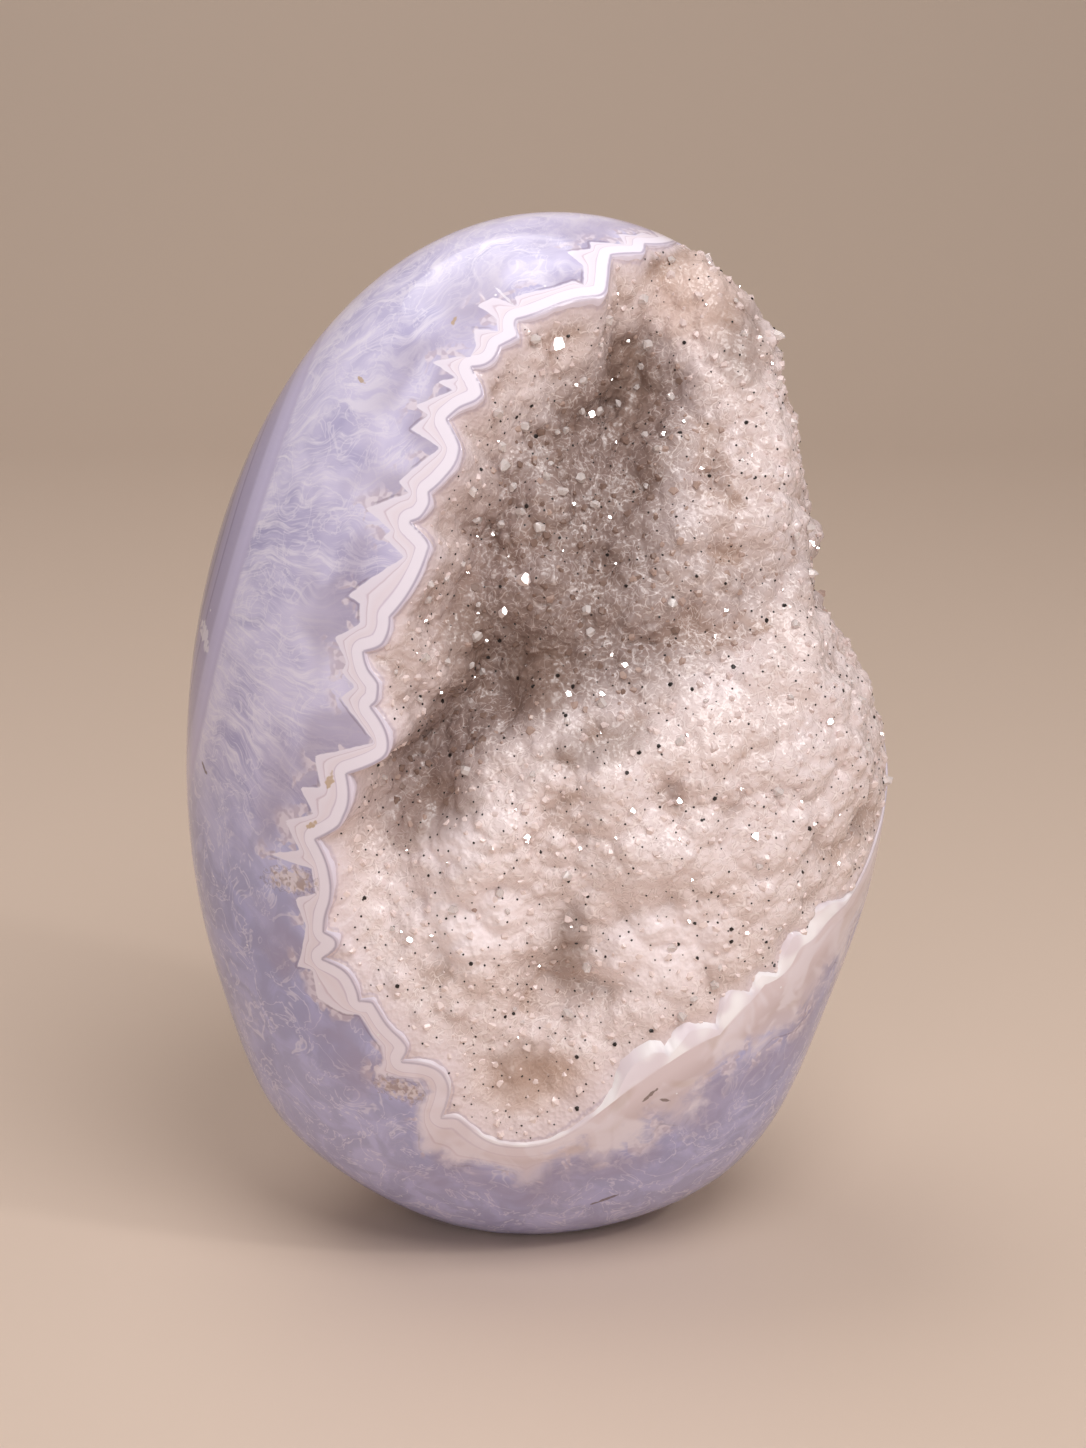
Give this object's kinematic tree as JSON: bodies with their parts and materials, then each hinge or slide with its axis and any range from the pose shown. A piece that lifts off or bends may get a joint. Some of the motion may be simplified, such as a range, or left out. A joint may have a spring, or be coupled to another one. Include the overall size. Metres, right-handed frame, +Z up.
{
  "type": "agate freeform with drusy hollow",
  "caption": "Polished egg-shaped freeform of blue lace agate standing on a small flat, with a deep front hollow lined by a sparkling crust of quartz crystals; a display stone.",
  "frame": {"origin": "middle of the footprint, on the plane the stone rests on", "axes": "+Z up along the stone's height, +X to the right and -Y towards the viewer of the picture; the hollow opens to -Y and +X"},
  "size_m": [0.1386, 0.1018, 0.2034],
  "materials": {
    "polished_agate": "polished to a gloss, faintly translucent",
    "drusy_quartz": "small flat-faced crystals, sugary and glittering"
  },
  "bodies": {
    "root": {"agate_body": "polished_agate", "quartz_druse": "drusy_quartz"}
  },
  "joints": []
}
